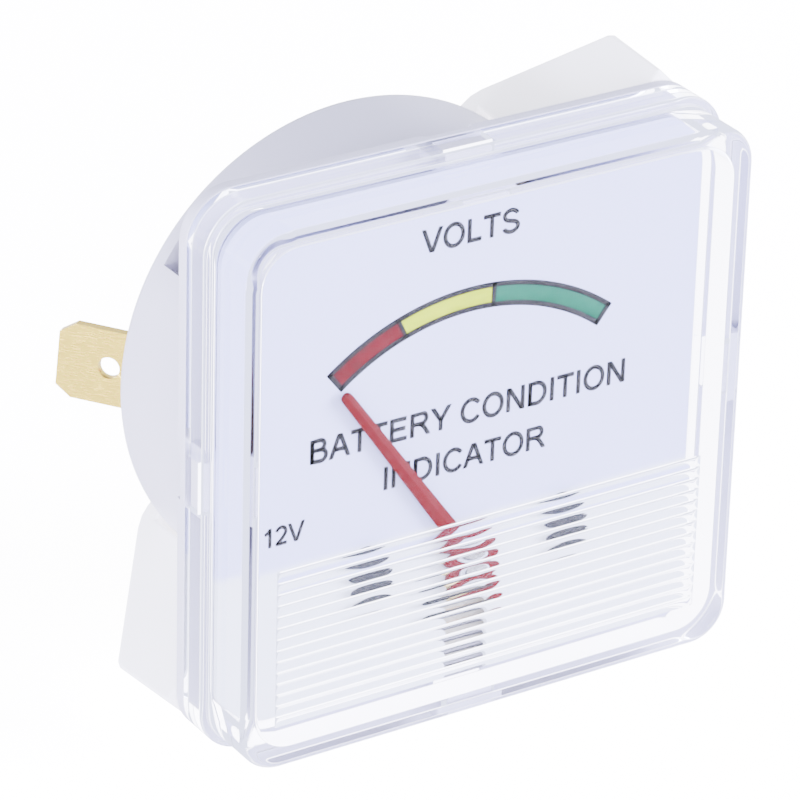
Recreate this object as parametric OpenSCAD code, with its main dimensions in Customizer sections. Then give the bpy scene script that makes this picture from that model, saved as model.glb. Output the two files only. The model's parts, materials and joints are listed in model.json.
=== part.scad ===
// Square panel meter that shows the condition of a 12 V battery.
// A clear cover snaps on a white case whose round barrel passes through the panel; a moulded clamp on a central
// stud pulls the case against the panel from behind. X is right and Z up as seen from the front, +Y is towards
// the rear. The origin is on the barrel's axis, in the plane of the flange's rear face, which meets the panel.

/* [Front cover] */
// Width and height of the window box
front_size = 45; // [44:0.5:48]
// Corner radius of the window box
front_corner = 3.3; // [2.6:0.1:4]
// Radius around the front edge
front_edge = 0.8; // [0.4:0.1:1]
// Depth from the front of the pane to the panel face
front_depth = 9.25; // [9.25:0.05:10]
// Depth of the window box in front of the skirt
box_depth = 5.4; // [5.2:0.1:5.6]
// Step outwards from the window box to the skirt
skirt_step = 0.7; // [0.5:0.1:0.9]
// Corner radius of the skirt and of the case flange
skirt_corner = 4; // [3.4:0.1:4.6]
// Thickness of the front pane
pane_t = 1.4; // [1.2:0.1:1.6]
// Corner radius inside the window box
inner_corner = 3.2; // [1.9:0.1:3.4]
// Thickness of the side walls
wall_t = 1.4; // [1.2:0.1:1.5]
// Number of lens ribs inside the pane
rib_count = 14; // [6:1:14]
// Distance from rib to rib
rib_pitch = 0.965; // [0.8:0.005:1]
// How far a rib stands proud of the pane
rib_rise = 0.2; // [0.1:0.01:0.3]
// Half of the ribs' length
rib_half = 19.4; // [15:0.1:20]
// Height of the top of the ribbed block, below the middle
rib_top = 5.6; // [5:0.05:7]

/* [Case] */
// Thickness of the square flange
flange_t = 1.15; // [1:0.05:1.3]
// Outer radius of the barrel
barrel_r = 20.6; // [20.4:0.1:21]
// Length of the barrel behind the flange
barrel_len = 14.35; // [14:0.05:15]
// Wall thickness of the barrel
barrel_wall = 1.5; // [1.2:0.1:1.6]
// Thickness of the barrel's rear wall
rear_wall = 2; // [1.6:0.1:2.2]
// Radius around the barrel's rear edge
barrel_edge = 1.5; // [0.8:0.1:1.6]
// Angle of a side window from the top, towards the left as seen from the front
window_angle = 53; // [50:1:56]

/* [Dial and pointer] */
// Distance from the pane to the dial plate
dial_gap = 3.97; // [3.8:0.01:4.1]
// Thickness of the dial plate
dial_t = 0.5; // [0.4:0.05:0.6]
// Height of the pivot below the middle of the dial
pivot_drop = 10.65; // [10.5:0.05:10.8]
// Half of the distance between the dial screws
screw_half = 9.02; // [8.9:0.01:9.2]
// Height of the dial screws above the pivot
screw_rise = 0.85; // [0:0.05:0.9]
// Length of the pointer from the pivot to the tip
pointer_len = 20.25; // [16:0.05:21]
// Angle of the resting pointer from straight up, to the left
pointer_rest = 35.2; // [30:0.1:40]
// Outer radius of the pointer's ring
ring_r = 2.4; // [2.2:0.1:2.6]
// Width of the pointer at its ring
pointer_root_w = 1.4; // [1.2:0.1:1.6]
// Width of the pointer at its tip
pointer_tip_w = 0.9; // [0.7:0.1:1.1]
// Length of the pointer's tail from the pivot
tail_len = 4.7; // [4.5:0.1:5.6]
// Distance from the pivot to the balance arm, which passes below the ring
balance_drop = 2.75; // [2.75:0.05:2.9]
// Reach of the balance arm to the left of the pivot
balance_len = 4.3; // [4.2:0.1:6]

/* [Movement] */
// Radius of the staff
staff_r = 0.5; // [0.4:0.05:0.6]
// Radial clearance of the staff in its bearings
staff_fit = 0.03; // [0.01:0.01:0.1]
// Outer radius of the bobbin's flanges
bobbin_r = 7.4; // [7:0.1:7.4]
// Inner radius of the bobbin
bobbin_bore = 3.7; // [3.6:0.1:3.9]
// Outer radius of the winding
winding_r = 6.8; // [6:0.1:6.8]
// Turns of the hairspring
spring_turns = 4; // [3:1:5]

/* [Terminals] */
// Width of a blade terminal
blade_w = 6.3; // [6.3:0.1:6.3]
// Thickness of a blade terminal
blade_t = 0.8; // [0.8:0.1:0.8]
// Distance of a terminal from the barrel's axis
blade_x = 16.83; // [16.4:0.01:17]
// Length of a blade beyond its bend
blade_len = 7.7; // [7:0.1:8.5]
// Angle at which a blade is bent outwards
blade_splay = 41.4; // [20:0.1:45]
// Angle by which a blade leans about the depth axis
blade_lean = 5.3; // [0:0.1:6]
// Radius of the hole in a blade
blade_hole_r = 0.9; // [0.8:0.05:1]

/* [Mounting clamp] */
// Distance from the axis to a leg's outer corner
clamp_reach = 31.4; // [30:0.1:33]
// Width of the clamp across its bar
clamp_w = 6; // [5:0.5:7]
// Thickness of the clamp's cross bar
clamp_bar_t = 1.95; // [1.6:0.05:2.4]
// Angle of the clamp from horizontal
clamp_angle = 45; // [40:1:60]
// Radius of the stud, M4
stud_r = 1.95; // [1.95:0.05:1.95]
// Outer radius of the knurled nut
nut_r = 5; // [4:0.5:6]
// Travel of the clamp, for panels up to this thickness
clamp_travel = 3.5; // [2:0.5:4]

/* [Hidden] */
$fn = 96;

cut = 1;                                     // how far a cutting shape passes the face that it cuts
half = front_size / 2;
skirt_half = half + skirt_step;
y_front = -front_depth;
y_pane = y_front + pane_t;                   // inner face of the pane
y_step = y_front + box_depth;                // front face of the skirt
y_inner_step = y_step + 0.4;
y_flange = -flange_t;
y_dial = y_pane + dial_gap;                  // front face of the dial
y_dial_back = y_dial + dial_t;
cavity_half = half - wall_t;
skirt_cavity = skirt_half - wall_t;
dial_half = cavity_half - 0.2;
barrel_in = barrel_r - barrel_wall;
y_rear_in = barrel_len - rear_wall;          // inner face of the rear wall

snap_w = 4.4;                                // window in the skirt for a snap barb
snap_front = y_flange - 2;
snap_back = y_flange - 0.45;
snap_fit = 0.1;
tongue_w = 6;
tongue_t = 1.1;
tongue_fit = 0.05;
release_w = 4.2;                             // notch behind each side for a release blade
release_d = 0.7;
release_h = 0.5;

side_window_w = 3.6;
side_window_front = 4.5;
side_window_back = 12.05;
lug_w = 3;

screw_r = 0.95;
screw_hole_r = 1.05;
screw_len = 5.5;
screw_head_r = 1.75;
screw_head_h = 0.8;
drive_slot_w = 0.4;
drive_slot_d = 0.4;

bridge_t = 0.6;
bridge_w = 4;
bridge_pad_r = 2.2;
y_bridge_back = y_dial_back + bridge_t;
bush_r = 1.5;
ring_bore = 1.35;
y_pointer = -4.6;                            // middle of the pointer's thickness
ring_t = 0.7;
pointer_t = 0.5;
balance_wire_r = 0.3;
balance_weight_r = 0.5;
balance_weight_len = 2;
staff_head_r = 0.95;
y_staff_head = -5.4;
y_bush_front = -5.1;
y_bush_back = -4;
notch_half = 1.93;                           // notch in the dial plate, below the pivot
notch_end = 19.9;

y_bobbin = -1.2;
bobbin_len = 9.7;
bobbin_flange = 0.8;
bobbin_core = bobbin_bore + 0.8;
y_bobbin_back = y_bobbin + bobbin_len;
chassis_t = 1.7;
chassis_r = barrel_in - 0.5;
y_chassis_back = y_bobbin_back + chassis_t;
post_in = bobbin_r + 0.1;
post_out = 11.2;
post_half = 2.3;
vane_t = 0.4;
spring_y = -1.75;
spring_out = 4.4;
spring_t = 0.1;
spring_h = 0.3;
spring_stud_r = 0.35;
collet_r = 1.1;
coil_pin_r = 0.25;
coil_pin_angle = 25;
coil_pin_ring = 7.1;

component_y = 6;                             // line of the resistor and the diode, behind the dial
parts_joint = -5.3;                          // where the leads of the resistor and the diode meet
diode_end = 0.8;
y_solder = y_bobbin - 0.7;                   // depth of the wire ends at the coil pins
wire_r = 0.25;
y_bend = barrel_len + 0.6;                   // where a blade is bent
y_blade_in = 5;
y_stud_in = y_rear_in - 1.75;
boss_r = 4;
boss_len = 1.95;

clamp_fit = 0.1;
y_bar = barrel_len + clamp_fit;
y_bar_back = y_bar + clamp_bar_t;
leg_in = barrel_r + 0.15;
washer_t = 0.8;
washer_r = 4.5;
nut_h = 3.2;
nut_gap = 0.03;
y_washer = y_bar_back + nut_gap;
y_nut = y_washer + washer_t + nut_gap;
y_stud_end = y_nut + nut_h + clamp_travel + 0.8;

// Extrudes a shape drawn in the XZ plane from depth y0 to depth y1
module deep(y0, y1) {
    translate([0, y1, 0]) rotate([90, 0, 0]) linear_extrude(y1 - y0) children();
}

// A rod along the depth axis, at x and z, from y0 to y1
module rod(r, y0, y1, x = 0, z = 0, tip_r = -1) {
    translate([x, y0, z]) rotate([-90, 0, 0]) cylinder(h = y1 - y0, r1 = r, r2 = tip_r < 0 ? r : tip_r);
}

// A tube along the depth axis
module tube(r_out, r_in, y0, y1, x = 0, z = 0) {
    difference() {
        rod(r_out, y0, y1, x, z);
        rod(r_in, y0 - cut, y1 + cut, x, z);
    }
}

// A round wire from point a to point b
module wire(a, b, r = wire_r) {
    run = b - a;
    translate(a)
        rotate([0, acos(run[2] / norm(run)), atan2(run[1], run[0])])
            cylinder(h = norm(run), r = r, $fn = 24);
}

// A wire through a list of points, with rounded bends
module wire_path(points, r = wire_r) {
    for (i = [0 : len(points) - 2]) wire(points[i], points[i + 1], r);
    for (i = [1 : len(points) - 2]) translate(points[i]) sphere(r + 0.02, $fn = 24);
}

// Square of half width h with corners of radius r
module round_square(h, r) {
    square([2 * h, 2 * (h - r)], center = true);
    square([2 * (h - r), 2 * h], center = true);
    for (sx = [-1, 1], sz = [-1, 1]) translate([sx * (h - r), sz * (h - r)]) circle(r);
}

// Window box with a rounded front edge: straight edges are rods and corners are rings
module box_front() {
    h = half - front_edge;
    c = half - front_corner;
    y = y_front + front_edge;
    deep(y_front, y_step) round_square(h, front_corner - front_edge);
    deep(y, y_step) round_square(half, front_corner);
    for (side = [0, 1]) rotate([0, 90 * side, 0]) for (s = [-1, 1])
        translate([-c, y, s * h]) rotate([0, 90, 0]) cylinder(h = 2 * c, r = front_edge);
    for (sx = [-1, 1], sz = [-1, 1]) translate([sx * c, y, sz * c]) rotate([-90, 0, 0])
        rotate_extrude() translate([front_corner - front_edge, 0]) circle(front_edge);
}

module lens_ribs() {
    r = (rib_pitch * rib_pitch / 4 + rib_rise * rib_rise) / (2 * rib_rise);
    for (i = [0 : rib_count - 1])
        translate([-rib_half, y_pane + rib_rise - r, -rib_top - (i + 0.5) * rib_pitch])
            rotate([0, 90, 0]) cylinder(h = 2 * rib_half, r = r);
}

// One copy on each of the four sides
module four_sides() {
    for (a = [0, 90, 180, 270]) rotate([0, a, 0]) children();
}

module front_cover() {
    color([0.92, 0.95, 1, 0.35]) {
        difference() {
            union() {
                box_front();
                deep(y_step, y_flange) round_square(skirt_half, skirt_corner);
            }
            deep(y_pane, y_flange + cut) round_square(cavity_half, inner_corner);
            deep(y_inner_step, y_flange + cut) round_square(skirt_cavity, skirt_corner - wall_t);
            four_sides() translate([skirt_cavity - cut, snap_front, -snap_w / 2])
                cube([wall_t + 2 * cut, snap_back - snap_front, snap_w]);
        }
        intersection() {
            lens_ribs();
            deep(y_pane - cut / 4, y_pane + cut) square(2 * cavity_half, center = true);
        }
    }
}

// Barb and tongue on the right-hand side
module snap_tongue() {
    x = skirt_cavity - tongue_fit;
    translate([x - tongue_t, y_inner_step + 0.15, -tongue_w / 2])
        cube([tongue_t, y_flange - y_inner_step, tongue_w]);
    translate([x - tongue_t, snap_front + snap_fit, snap_fit - snap_w / 2])
        cube([tongue_t + wall_t - 0.15, snap_back - snap_front - 2 * snap_fit, snap_w - 2 * snap_fit]);
}

// A terminal's slot in the rear wall, on the left
module blade_slot(side) {
    rotate([0, side > 0 ? 180 : 0, 0]) translate([-blade_x, y_rear_in - cut, 0]) rotate([0, blade_lean, 0])
        translate([-blade_t / 2 - 0.05, 0, -blade_w / 2 - 0.05])
            cube([blade_t + 0.1, rear_wall + 2 * cut, blade_w + 0.1]);
}

module barrel() {
    rotate([-90, 0, 0]) rotate_extrude() difference() {
        union() {
            translate([0, y_flange]) square([barrel_r, barrel_len - barrel_edge - y_flange]);
            translate([0, y_flange]) square([barrel_r - barrel_edge, barrel_len - y_flange]);
            translate([barrel_r - barrel_edge, barrel_len - barrel_edge]) circle(barrel_edge);
        }
        translate([-cut, y_flange - cut]) square([barrel_in + cut, y_rear_in - y_flange + cut]);
    }
}

// Radial direction of a side window, on the left
module at_window(side) {
    rotate([0, -window_angle + (side > 0 ? 180 : 0), 0]) children();
}

module case_body() {
    color([0.93, 0.93, 0.94]) difference() {
        union() {
            deep(y_flange, 0) difference() {
                round_square(skirt_half, skirt_corner);
                circle(barrel_in);
            }
            barrel();
            four_sides() snap_tongue();
            rod(boss_r, y_rear_in - boss_len, y_rear_in + cut);
            for (a = [90, 215, 325])
                rod(1.5, y_chassis_back, y_rear_in + cut, 16 * cos(a), 16 * sin(a));
        }
        rod(stud_r, y_stud_in, barrel_len + cut);
        for (side = [-1, 1]) {
            blade_slot(side);
            at_window(side) translate([-side_window_w / 2, side_window_front, barrel_in - 2 * cut])
                cube([side_window_w, side_window_back - side_window_front, barrel_wall + 4 * cut]);
        }
        four_sides() translate([skirt_half - release_d, -release_h, -release_w / 2])
            cube([release_d + cut, release_h + cut, release_w]);
    }
}

module dial_plate() {
    color([0.95, 0.96, 0.98]) deep(y_dial, y_dial_back) difference() {
        round_square(dial_half, inner_corner);
        translate([0, -pivot_drop]) circle(notch_half);
        translate([-notch_half, -notch_end]) square([2 * notch_half, notch_end - pivot_drop]);
        for (s = [-1, 1]) translate([s * screw_half, screw_rise - pivot_drop]) circle(screw_hole_r);
    }
}

module dial_screws() {
    z = screw_rise - pivot_drop;
    y_head = y_dial - screw_head_h;
    color([0.09, 0.09, 0.1]) for (s = [-1, 1]) difference() {
        union() {
            rod(screw_head_r, y_head, y_dial, s * screw_half, z);
            rod(screw_r, y_dial, y_dial + screw_len, s * screw_half, z);
        }
        translate([s * screw_half - 2 * screw_head_r, y_head - cut, z - drive_slot_w / 2])
            cube([4 * screw_head_r, cut + drive_slot_d, drive_slot_w]);
    }
}

// Puts a shape drawn around the origin, pointing up, on the pivot at the pointer's resting angle
module on_pivot() {
    translate([0, 0, -pivot_drop]) rotate([0, -pointer_rest, 0]) children();
}

module pointer() {
    root_z = ring_r - 0.3;
    tip_r = pointer_tip_w / 2;
    color([0.86, 0.12, 0.12]) on_pivot() difference() {
        union() {
            deep(y_pointer - pointer_t / 2, y_pointer + pointer_t / 2) {
                polygon([[-pointer_root_w / 2, root_z], [pointer_root_w / 2, root_z],
                         [tip_r, pointer_len - tip_r], [-tip_r, pointer_len - tip_r]]);
                translate([0, pointer_len - tip_r]) circle(tip_r);
                translate([-0.6, 0.6 - tail_len]) square([1.2, tail_len - ring_r]);
                translate([0, 0.6 - tail_len]) circle(0.6);
            }
            rod(ring_r, y_pointer - ring_t / 2, y_pointer + ring_t / 2);
        }
        rod(ring_bore, y_pointer - cut, y_pointer + cut);
        balance_wire();
    }
}

// Puts a shape that lies along +Z at the arm's outer end, level and pointing inwards when the pointer rests
module at_arm_end() {
    rotate([0, pointer_rest, 0]) translate([-balance_len, y_pointer, -balance_drop]) rotate([0, 90, 0]) children();
}

// The arm's wire, from its outer end to the middle of the pointer's tail
module balance_wire() {
    at_arm_end() cylinder(h = balance_len + balance_drop * tan(pointer_rest), r = balance_wire_r, $fn = 32);
}

module balance_arm() {
    color([0.08, 0.08, 0.09]) on_pivot() balance_wire();
}

module balance_weight() {
    color([0.1, 0.1, 0.11]) on_pivot() difference() {
        at_arm_end() translate([0, 0, 0.2]) cylinder(h = balance_weight_len, r = balance_weight_r, $fn = 48);
        balance_wire();
    }
}

module pointer_bush() {
    color([0.88, 0.89, 0.92]) tube(ring_bore, staff_r, y_bush_front, y_bush_back, 0, -pivot_drop);
}

module pivot_staff() {
    color([0.35, 0.36, 0.38]) {
        rod(staff_head_r, y_staff_head, y_bush_front, 0, -pivot_drop);
        rod(staff_r, y_bush_front, y_bobbin_back + 0.9, 0, -pivot_drop);
        rod(staff_r, y_bobbin_back + 0.9, y_bobbin_back + 1.3, 0, -pivot_drop, 0.1);
    }
}

module spring_collet() {
    color([0.8, 0.65, 0.3]) tube(collet_r, staff_r, spring_y - 0.3, spring_y + 0.3, 0, -pivot_drop);
}

// Flat spiral from the collet to the stud
module hairspring() {
    steps = 24 * spring_turns;
    function coil(i, side) = let (a = 360 * spring_turns * i / steps,
                                  r = collet_r + (spring_out - collet_r) * i / steps + side * spring_t / 2)
        [r * cos(a), r * sin(a)];
    color([0.75, 0.5, 0.3]) translate([0, 0, -pivot_drop]) deep(spring_y - spring_h / 2, spring_y + spring_h / 2)
        polygon(concat([for (i = [1 : steps]) coil(i, 1)], [for (i = [steps : -1 : 1]) coil(i, -1)]));
}

module spring_stud() {
    color([0.8, 0.65, 0.3]) rod(spring_stud_r, y_bridge_back, spring_y + 0.3,
                                     spring_out + spring_t / 2 + spring_stud_r, -pivot_drop);
}

module front_bridge() {
    color([0.82, 0.68, 0.35]) deep(y_dial_back, y_bridge_back) translate([0, -pivot_drop]) difference() {
        union() {
            square([2 * screw_half, bridge_w], center = true);
            circle(3.2);
            for (s = [-1, 1]) translate([s * screw_half, screw_rise]) circle(bridge_pad_r);
        }
        circle(bush_r);
        for (s = [-1, 1]) translate([s * screw_half, screw_rise]) circle(screw_hole_r);
    }
}

module front_bearing() {
    color([0.8, 0.65, 0.3])
        tube(bush_r, staff_r + staff_fit, y_dial + 0.1, y_bridge_back + 0.5, 0, -pivot_drop);
}

module rear_bearing() {
    color([0.8, 0.65, 0.3]) difference() {
        rod(2, y_bobbin_back + 0.1, y_chassis_back + 0.7, 0, -pivot_drop);
        rod(staff_r + staff_fit, y_bobbin_back - cut, y_bobbin_back + 1.4, 0, -pivot_drop);
        translate([-3, y_chassis_back + 0.2, -pivot_drop - 0.3]) cube([6, cut, 0.6]);
    }
}

module coil_bobbin() {
    y1 = y_bobbin + bobbin_flange;
    y2 = y_bobbin_back - bobbin_flange;
    color([0.9, 0.88, 0.8]) difference() {
        union() {
            tube(bobbin_r, bobbin_bore, y_bobbin, y1, 0, -pivot_drop);
            tube(bobbin_core, bobbin_bore, y_bobbin, y_bobbin_back, 0, -pivot_drop);
            tube(bobbin_r, bobbin_bore, y2, y_bobbin_back, 0, -pivot_drop);
        }
        coil_pins();
    }
}

module coil_winding() {
    color([0.72, 0.36, 0.16]) tube(winding_r, bobbin_core, y_bobbin + bobbin_flange,
                                   y_bobbin_back - bobbin_flange, 0, -pivot_drop);
}

// Centre of a coil pin: side is -1 on the left and 1 on the right
function coil_pin(side) = [side * coil_pin_ring * sin(coil_pin_angle),
                           -pivot_drop + coil_pin_ring * cos(coil_pin_angle)];

module coil_pins() {
    color([0.85, 0.85, 0.8]) for (side = [-1, 1])
        rod(coil_pin_r, y_bobbin - 1.2, y_bobbin + 0.6, coil_pin(side)[0], coil_pin(side)[1]);
}

// Curved iron sheet around the pivot, from angle a0 over span, between y0 and y1
module curved_vane(r_out, a0, span, y0, y1) {
    translate([0, y0, -pivot_drop]) rotate([-90, 0, 0]) rotate([0, 0, a0])
        rotate_extrude(angle = span) translate([r_out - vane_t, 0]) square([vane_t, y1 - y0]);
}

module fixed_vane() {
    color([0.5, 0.5, 0.52]) curved_vane(bobbin_bore, 20, 110, y_bobbin + 0.8, y_bobbin_back - 0.8);
}

module moving_vane() {
    y0 = y_bobbin + 1;
    y1 = y_bobbin_back - 1;
    r = bobbin_bore - 2 * vane_t + 0.05;
    color([0.45, 0.45, 0.47]) {
        curved_vane(r, 20, 50, y0, y1);
        translate([0, y0, -pivot_drop]) rotate([0, 45, 0]) difference() {
            translate([0, 0, -vane_t / 2]) cube([r - vane_t / 2, y1 - y0, vane_t]);
            rod(staff_r, -cut, y1 - y0 + cut);
        }
    }
}

module movement_chassis() {
    color([0.8, 0.8, 0.83]) difference() {
        union() {
            rod(chassis_r, y_bobbin_back, y_chassis_back);
            for (s = [-1, 1]) {
                translate([s > 0 ? post_in : -post_out, y_bridge_back, -pivot_drop - post_half])
                    cube([post_out - post_in, y_chassis_back - y_bridge_back, 2 * post_half]);
                at_window(s) translate([-lug_w / 2, y_bobbin_back, chassis_r - cut])
                    cube([lug_w, chassis_t, cut + 1.4]);
            }
        }
        rod(2, y_bobbin_back - cut, y_chassis_back + cut, 0, -pivot_drop);
        for (s = [-1, 1]) {
            rod(screw_r, y_bridge_back - cut, y_dial + screw_len + 0.5, s * screw_half, screw_rise - pivot_drop);
            translate([s > 0 ? blade_x - 1.5 : -chassis_r - cut, y_bobbin_back - cut, -blade_w / 2 - 1.3])
                cube([chassis_r + cut - blade_x + 1.5, chassis_t + 2 * cut, blade_w + 2.6]);
        }
        translate([-9, y_bobbin_back - cut, 4.5]) cube([18, chassis_t + 2 * cut, 7]);
    }
}

// Body of a component along X with a lead at each end
module axial_part(x0, x1, r, lead0, lead1) {
    translate([x0, component_y, 0]) rotate([0, 90, 0]) cylinder(h = x1 - x0, r = r);
    wire([lead0, component_y, 0], [x0 + 0.1, component_y, 0]);
    wire([x1 - 0.1, component_y, 0], [lead1, component_y, 0]);
}

module series_resistor() {
    color([0.76, 0.62, 0.42]) axial_part(-12.8, -6.5, 1.2, -blade_x + blade_t / 2, parts_joint);
}

module zener_diode() {
    color([0.85, 0.4, 0.2]) axial_part(-4.4, -0.6, 0.95, parts_joint, diode_end);
}

// Point beside a coil pin where a wire that comes from point a ends
function at_pin(a, side) = let (p = [coil_pin(side)[0], a[1], coil_pin(side)[1]])
    p + (a - p) * (coil_pin_r + 0.01) / norm(a - p);

module coil_lead_a() {
    x = diode_end + 0.8;
    bend = [x, y_solder, 0];
    color([0.7, 0.1, 0.1])
        wire_path([[diode_end, component_y, 0], [x, component_y, 0], bend, at_pin(bend, -1)]);
}

module coil_lead_b() {
    bend = [4.8, y_solder, 0];
    color([0.1, 0.1, 0.12])
        wire_path([[blade_x - blade_t / 2, component_y, 0], [6.4, component_y, 0], bend, at_pin(bend, 1)]);
}

// Sheet of a blade's thickness: its outline is drawn as depth and height, from depth 0
module blade_sheet() {
    rotate([90, 0, 90]) translate([0, 0, -blade_t / 2]) linear_extrude(blade_t) children();
}

// Terminal on the left: a strip through the rear wall, bent outwards behind it
module blade_terminal() {
    h = blade_w / 2;
    tail_h = 1.5;
    y_wide = y_rear_in - 1;
    taper = 1.3;
    tip_h = h - 0.9;
    hole_back = 4.25;
    translate([-blade_x, 0, 0]) rotate([0, blade_lean, 0]) {
        blade_sheet() {
            translate([y_blade_in, -tail_h]) square([y_wide - y_blade_in, 2 * tail_h]);
            translate([y_wide, -h]) square([y_bend - y_wide, 2 * h]);
        }
        translate([0, y_bend, -h]) cylinder(h = blade_w, r = blade_t / 2);
        translate([0, y_bend, 0]) rotate([0, 0, blade_splay]) blade_sheet() difference() {
            polygon([[0, -h], [blade_len - taper, -h], [blade_len, -tip_h],
                     [blade_len, tip_h], [blade_len - taper, h], [0, h]]);
            translate([blade_len - hole_back, 0]) circle(blade_hole_r);
        }
    }
}

module terminal_positive() {
    color([0.84, 0.72, 0.42]) blade_terminal();
}

module terminal_negative() {
    color([0.84, 0.72, 0.42]) rotate([0, 180, 0]) blade_terminal();
}

module clamp_stud() {
    color([0.75, 0.74, 0.7]) {
        rod(stud_r, y_stud_in, y_stud_end - 0.5);
        rod(stud_r, y_stud_end - 0.5, y_stud_end, 0, 0, stud_r - 0.5);
    }
}

// Side view of half of the clamp: distance from the axis and depth
module clamp_profile() {
    shoulder_y = 7.4;
    polygon([[0, y_bar], [leg_in, y_bar], [leg_in, clamp_fit], [clamp_reach - 0.45, clamp_fit],
             [clamp_reach, shoulder_y - 0.4], [clamp_reach - 0.25, shoulder_y + 0.15],
             [22.2, y_bar_back - 0.8], [21.2, y_bar_back - 0.2], [20.2, y_bar_back], [0, y_bar_back]]);
}

// Hollow in a leg, open on one side only
module clamp_pocket() {
    polygon([[leg_in + 1.5, 1.6], [25.2, 1.6], [25.2, 10.9], [leg_in + 1.5, y_bar - 1.2]]);
    polygon([[26.6, 1.6], [clamp_reach - 1.9, 1.6], [clamp_reach - 1.5, 6.6], [26.6, 9.9]]);
}

module mounting_clamp() {
    web_t = 1.4;
    color([0.95, 0.95, 0.96]) rotate([0, -clamp_angle, 0]) difference() {
        for (side = [0, 1]) mirror([side, 0, 0])
            translate([0, 0, -clamp_w / 2]) linear_extrude(clamp_w) clamp_profile();
        for (side = [0, 1]) mirror([side, 0, 0])
            translate([0, 0, -clamp_w / 2 - cut]) linear_extrude(clamp_w - web_t + cut) clamp_pocket();
        rod(stud_r + 0.15, y_bar - cut, y_bar_back + cut);
    }
}

module clamp_washer() {
    color([0.8, 0.8, 0.82]) tube(washer_r, stud_r + 0.1, y_washer, y_washer + washer_t);
}

module clamp_nut() {
    teeth = 30;
    collar = 1;
    color([0.8, 0.66, 0.32]) difference() {
        union() {
            rod(3.6, y_nut, y_nut + collar);
            deep(y_nut + collar, y_nut + nut_h) difference() {
                circle(nut_r);
                for (i = [0 : teeth - 1]) rotate(360 * i / teeth) translate([nut_r + 0.1, 0])
                    circle(0.35, $fn = 4);
            }
        }
        rod(stud_r + 0.05, y_nut - cut, y_nut + nut_h + cut);
    }
}

front_cover();
case_body();
dial_plate();
dial_screws();
pointer();
pointer_bush();
pivot_staff();
balance_arm();
balance_weight();
moving_vane();
spring_collet();
hairspring();
spring_stud();
front_bridge();
front_bearing();
rear_bearing();
movement_chassis();
coil_bobbin();
coil_winding();
coil_pins();
fixed_vane();
series_resistor();
zener_diode();
coil_lead_a();
coil_lead_b();
terminal_positive();
terminal_negative();
clamp_stud();
mounting_clamp();
clamp_washer();
clamp_nut();
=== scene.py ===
import json
import math

import bmesh
import bpy
from mathutils import Matrix, Vector


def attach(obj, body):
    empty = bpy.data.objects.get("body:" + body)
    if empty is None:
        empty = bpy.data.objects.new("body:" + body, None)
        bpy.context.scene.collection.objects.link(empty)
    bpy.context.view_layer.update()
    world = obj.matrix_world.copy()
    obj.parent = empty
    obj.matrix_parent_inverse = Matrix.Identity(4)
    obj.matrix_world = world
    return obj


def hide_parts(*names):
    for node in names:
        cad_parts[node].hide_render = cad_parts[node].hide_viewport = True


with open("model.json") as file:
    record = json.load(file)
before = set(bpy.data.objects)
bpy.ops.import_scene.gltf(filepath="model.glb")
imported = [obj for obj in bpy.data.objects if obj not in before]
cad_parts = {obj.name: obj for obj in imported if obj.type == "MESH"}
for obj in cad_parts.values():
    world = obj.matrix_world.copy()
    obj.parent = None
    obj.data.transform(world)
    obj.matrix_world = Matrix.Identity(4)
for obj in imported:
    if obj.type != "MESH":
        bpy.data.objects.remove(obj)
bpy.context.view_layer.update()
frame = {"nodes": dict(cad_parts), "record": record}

MM = 0.001
scene = bpy.context.scene


# ---------------------------------------------------------------- sizes, in millimetres

# window box, skirt and the white flange behind it: half widths, corner radii and depths
HALF, CORNER = 22.5, 3.3
SKIRT, SKIRT_CORNER = 23.2, 4.0
WINDOW_IN, WINDOW_IN_CORNER = 21.1, 3.2
SKIRT_IN, SKIRT_IN_CORNER = 21.8, 2.6
Y_FRONT, Y_PANE, Y_STEP, Y_INNER_STEP, Y_FLANGE = -9.25, -7.85, -3.85, -3.485, -1.15
LAP = 0.02
# lens ribs on the inside of the pane
RIBS, PITCH, RISE, RIB_TOP, RIB_HALF = 14, 0.965, 0.2, -5.6, 19.4
# barrel
BARREL, BARREL_IN, Y_REAR, REAR_WALL = 20.6, 19.1, 14.35, 2.0
# snap tongues, in the skirt's windows
TONGUE_HALF, TONGUE_IN, TONGUE_OUT = 3.0, 20.65, 21.75
BARB_HALF, BARB_OUT, WINDOW_HALF = 2.1, 23.0, 2.2
TONGUE_Y, BARB_Y, WINDOW_Y = (-3.335, -1.0), (-3.05, -1.7), (-3.15, -1.6)
VENT_HALF, VENT_Y = 1.8, (4.5, 12.05)
# bosses inside the rear wall: one round the stud and three under the movement
BOSS_R, BOSS_BORE, POST_R, POST_AT, BOSS_Y, BOSS_ROOT = 4.0, 1.96, 1.5, 16, 10.4, 12.4
# blades' slits in the rear wall
BLADE_X, BLADE_LEAN, SLIT_W, SLIT_LEN = -16.83, 5.3, 0.9, 6.4
# dial plate's front and the pointer
Y_DIAL, PIVOT, REST = -3.88, -10.65, -35.2
NEEDLE_LEN, NEEDLE_TIP, TAIL_LEN, TAIL_HALF = 20.25, 0.45, 4.7, 0.6
NEEDLE_BACK, NEEDLE_SIDE, NEEDLE_RIDGE = -4.35, -4.62, -4.9
RING_R, RING_BORE, STAFF_R = 2.4, 1.35, 0.5


# ---------------------------------------------------------------- materials

def new_material(name):
    m = bpy.data.materials.new(name)
    m.use_nodes = True
    m.node_tree.nodes.clear()
    return m, m.node_tree.nodes, m.node_tree.links


def coords(nodes, links, scale=(1, 1, 1), turn=(0, 0, 0)):
    place = nodes.new("ShaderNodeTexCoord")
    mapping = nodes.new("ShaderNodeMapping")
    mapping.inputs["Scale"].default_value = scale
    mapping.inputs["Rotation"].default_value = turn
    links.new(place.outputs["Object"], mapping.inputs["Vector"])
    return mapping.outputs["Vector"]


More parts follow.
